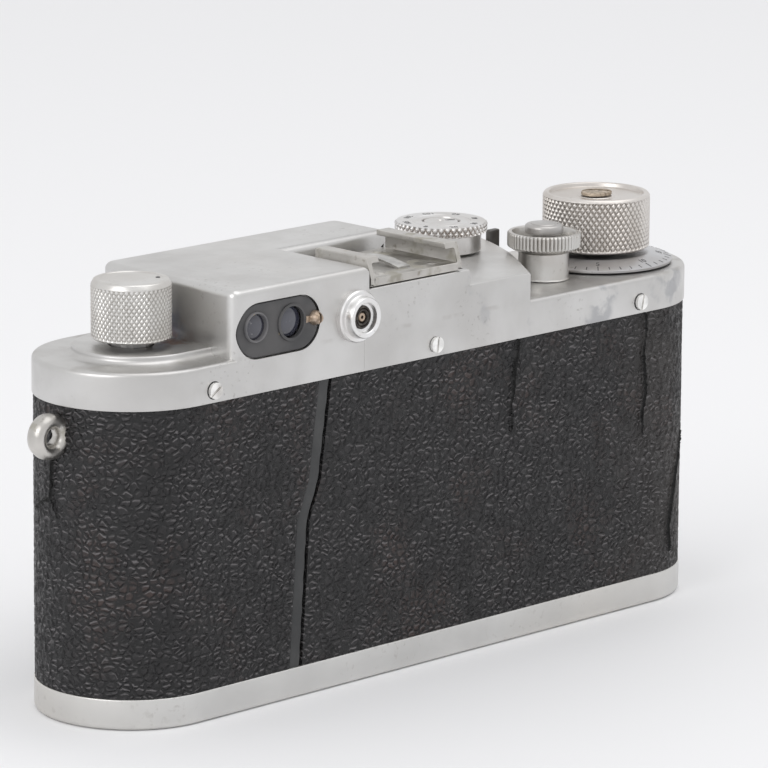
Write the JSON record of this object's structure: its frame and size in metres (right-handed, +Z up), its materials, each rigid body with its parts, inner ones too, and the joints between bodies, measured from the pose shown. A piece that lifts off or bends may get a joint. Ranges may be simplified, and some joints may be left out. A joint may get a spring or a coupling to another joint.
{
  "type": "rangefinder film camera",
  "caption": "Bottom-loading 35 mm film camera with a long rounded body, black grained covering, chrome top and base, viewfinder housing, knobs, dials and a screw-mounted lens.",
  "frame": {"origin": "middle of the underside of the base plate, where the camera stands", "axes": "+Z up, -Y the way the lens looks, +X towards the rewind knob, so the long side lies along X"},
  "size_m": [0.1466, 0.0525, 0.0687],
  "materials": {
    "chrome_cap": "satin chrome plate, light warm grey, lightly pitted and rubbed bright along its edges",
    "chrome_fittings": "satin chrome plate with knurled or lathe-turned faces, grime in the cuts",
    "nickel": "worn nickel plate, slightly warmer than the chrome",
    "steel": "bare machined steel, dull",
    "brass": "aged brass where plating has worn off",
    "covering": "black pebble-grained covering, hard and slightly glossy, cracked in places",
    "covering_seam": "smooth dark grey-green seam strip",
    "black_paint": "black lacquer on metal",
    "glass": "coated optical glass",
    "insulator": "aged insulating plastic",
    "curtain_cloth": "black rubberised cloth"
  },
  "bodies": {
    "base": {"base_plate": "chrome_cap", "tripod_bush": "nickel", "base_hook": "steel"},
    "camera_body": {"body_shell": "steel", "cover_wrap": "covering", "seam_strip": "covering_seam", "strap_lug_rewind_end": "nickel", "strap_lug_wind_end": "nickel", "top_cover": "chrome_cap", "eyepiece_plate": "black_paint", "rangefinder_eyepiece": "black_paint", "rangefinder_eye_lens": "glass", "viewfinder_eye_lens": "glass", "rangefinder_window_outer": "glass", "rangefinder_window_inner": "glass", "viewfinder_window": "glass", "viewfinder_tube": "black_paint", "rangefinder_prism": "glass", "sync_socket": "chrome_fittings", "sync_insulator": "insulator", "sync_contact": "brass", "accessory_shoe": "nickel", "shoe_spring": "steel", "release_tube": "chrome_fittings", "clutch_pivot_screw": "steel", "back_screw_rewind_end": "nickel", "back_screw_middle": "nickel", "back_screw_wind_end": "nickel", "lens_flange": "chrome_fittings", "lens_base": "chrome_fittings", "shutter_crate": "black_paint", "first_curtain": "curtain_cloth", "second_curtain": "curtain_cloth", "curtain_rollers": "steel", "pressure_plate": "black_paint"},
    "base_lock_key": {"base_key": "chrome_cap"},
    "key_ring": {"key_bail": "nickel"},
    "diopter": {"diopter_lever": "brass"},
    "rewind_turning_sleeve": {"rewind_sleeve": "steel"},
    "rewind": {"rewind_knob": "chrome_fittings", "rewind_shaft": "steel"},
    "wind": {"wind_knob": "chrome_fittings", "wind_knob_screw": "brass", "wind_shaft": "steel", "take_up_spool": "black_paint"},
    "frame_counter": {"counter_dial": "chrome_fittings"},
    "film_sprocket": {"sprocket": "steel"},
    "shutter_spindle": {"shutter_drum": "steel", "speed_spindle": "chrome_fittings"},
    "speed_lift": {"speed_dial_sleeve": "brass"},
    "speed_setting": {"speed_dial": "chrome_fittings"},
    "release": {"release_button": "chrome_fittings"},
    "release_guard": {"release_collar": "chrome_fittings"},
    "clutch": {"clutch_lever": "steel"},
    "focus": {"focus_ring": "chrome_fittings", "focus_tab": "chrome_fittings"},
    "lens_front": {"lens_barrel": "chrome_fittings", "front_element": "glass", "rear_element": "glass"},
    "aperture": {"aperture_ring": "chrome_fittings"}
  },
  "joints": [
    {"name": "base_plate_opening", "type": "hinge", "parent": "base", "child": "camera_body", "pos_m": [-0.068, 0, 0.00495], "axis": [0, -1, 0], "range_deg": [0, 20]},
    {"name": "base_key_turn", "type": "hinge", "parent": "base", "child": "base_lock_key", "pos_m": [0.0525, 0, 0.001], "axis": [0, 0, 1], "range_deg": [0, 180]},
    {"name": "key_ring_fold", "type": "hinge", "parent": "base_lock_key", "child": "key_ring", "pos_m": [0.0525, 0, 0.00045], "axis": [1, 0, 0], "range_deg": [0, 90]},
    {"name": "diopter_swing", "type": "hinge", "parent": "camera_body", "child": "diopter", "pos_m": [0.0328, 0.016, 0.061], "axis": [0, 1, 0], "range_deg": [-15, 15]},
    {"name": "rewind_turn", "type": "hinge", "parent": "camera_body", "child": "rewind_turning_sleeve", "pos_m": [0.0525, 0, 0.058], "axis": [0, 0, 1], "continuous": true},
    {"name": "rewind_pull", "type": "slide", "parent": "rewind_turning_sleeve", "child": "rewind", "axis": [0, 0, 1], "range_m": [0, 0.007]},
    {"name": "wind_turn", "type": "hinge", "parent": "camera_body", "child": "wind", "pos_m": [-0.0531, 0, 0.06], "axis": [0, 0, 1], "continuous": true},
    {"name": "counter_turn", "type": "hinge", "parent": "camera_body", "child": "frame_counter", "pos_m": [-0.0531, 0, 0.058], "axis": [0, 0, 1], "continuous": true},
    {"name": "sprocket_turn", "type": "hinge", "parent": "camera_body", "child": "film_sprocket", "pos_m": [-0.0359, 0.0042, 0.028], "axis": [0, 0, 1], "continuous": true},
    {"name": "shutter_spindle_turn", "type": "hinge", "parent": "camera_body", "child": "shutter_spindle", "pos_m": [-0.023, -0.0071, 0.028], "axis": [0, 0, 1], "continuous": true},
    {"name": "speed_dial_lift", "type": "slide", "parent": "shutter_spindle", "child": "speed_lift", "axis": [0, 0, 1], "range_m": [0, 0.0015], "stiffness_N_per_m": 400},
    {"name": "speed_dial_turn", "type": "hinge", "parent": "speed_lift", "child": "speed_setting", "pos_m": [-0.023, -0.0071, 0.065], "axis": [0, 0, 1], "range_deg": [-150, 150]},
    {"name": "release_press", "type": "slide", "parent": "camera_body", "child": "release", "axis": [0, 0, -1], "range_m": [0, 0.0013], "stiffness_N_per_m": 600},
    {"name": "release_guard_turn", "type": "hinge", "parent": "camera_body", "child": "release_guard", "pos_m": [-0.0359, 0.0042, 0.063], "axis": [0, 0, 1], "continuous": true},
    {"name": "clutch_swing", "type": "hinge", "parent": "camera_body", "child": "clutch", "pos_m": [-0.0386, -0.0139, 0.0574], "axis": [0, 0, 1], "range_deg": [0, 60]},
    {"name": "focus_turn", "type": "hinge", "parent": "camera_body", "child": "focus", "pos_m": [0.003, -0.023, 0.028], "axis": [0, -1, 0], "range_deg": [0, 170]},
    {"name": "lens_extend", "type": "slide", "parent": "camera_body", "child": "lens_front", "axis": [0, -1, 0], "range_m": [0, 0.0028]},
    {"name": "aperture_turn", "type": "hinge", "parent": "lens_front", "child": "aperture", "pos_m": [0.003, -0.031, 0.028], "axis": [0, -1, 0], "range_deg": [0, 120]}
  ],
  "couplings": [
    {"joint": "counter_turn", "follows": "wind_turn", "ratio": 0.025},
    {"joint": "sprocket_turn", "follows": "wind_turn", "ratio": 1},
    {"joint": "shutter_spindle_turn", "follows": "wind_turn", "ratio": -1},
    {"joint": "lens_extend", "follows": "focus_turn", "m_per_rad": 0.00091}
  ]
}
